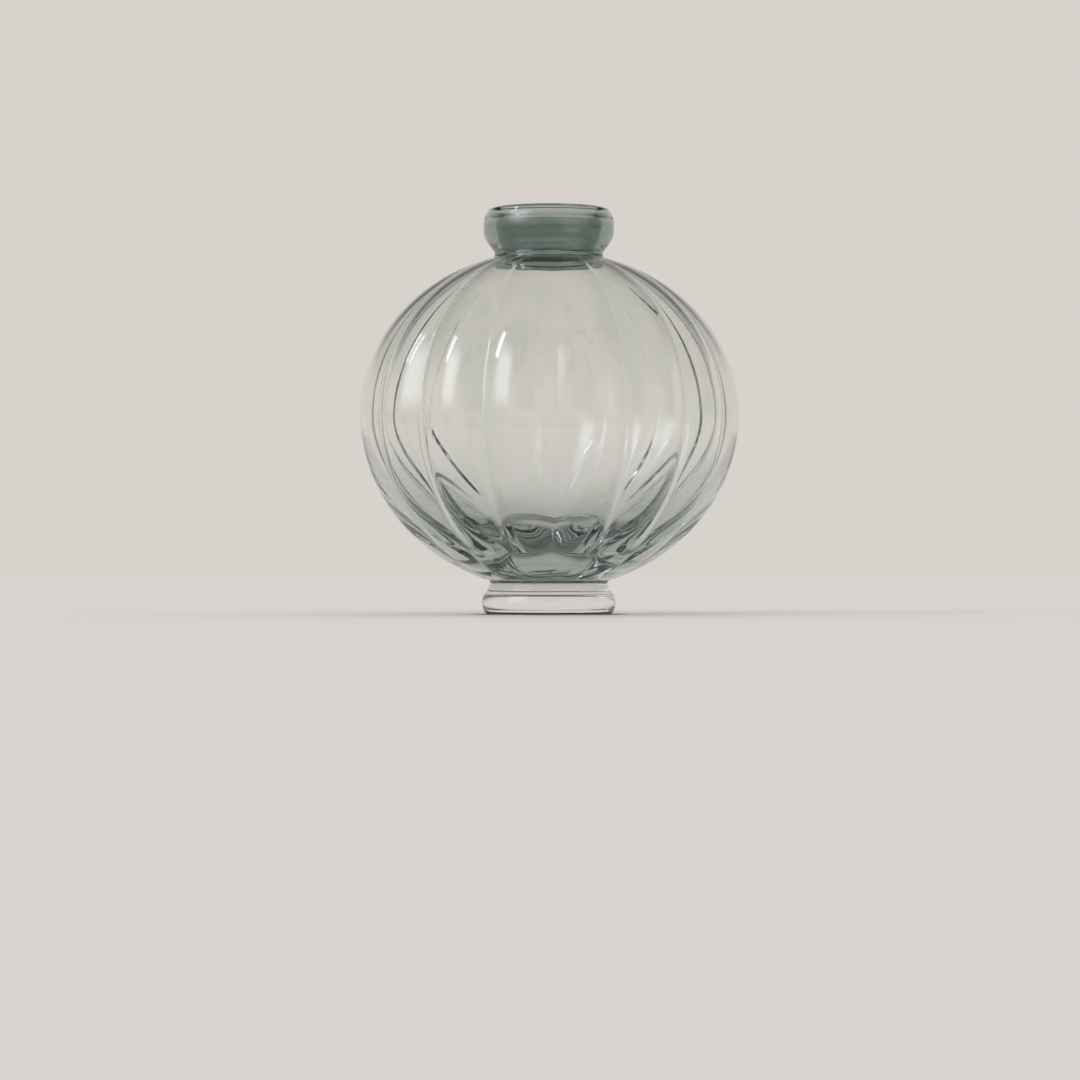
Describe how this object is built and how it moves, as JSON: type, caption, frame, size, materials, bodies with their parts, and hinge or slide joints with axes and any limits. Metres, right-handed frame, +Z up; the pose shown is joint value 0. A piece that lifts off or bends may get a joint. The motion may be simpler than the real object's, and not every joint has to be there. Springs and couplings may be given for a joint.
{
  "type": "glass vase",
  "caption": "Free-standing blown glass flower vase: a ribbed, slightly flattened globe with a heavy base, a thick bulging mouth collar and a clear disc foot.",
  "frame": {"origin": "centre of the foot's standing face, on the surface that the vase stands on", "axes": "+Z up along the axis of the vase through the mouth; +X and +Y across, with a rib's crown 9 degrees clockwise of +X, seen from above"},
  "size_m": [0.2328, 0.2328, 0.25],
  "materials": {
    "clear_glass": "clear colourless glass, fire polished",
    "smoke_glass": "pale grey-green tinted glass, thin and fire polished",
    "teal_glass": "deeper teal-grey tinted glass, thick and fire polished"
  },
  "bodies": {
    "root": {"foot_disc": "clear_glass", "ribbed_bulb": "smoke_glass", "mouth_collar": "teal_glass"}
  },
  "joints": []
}
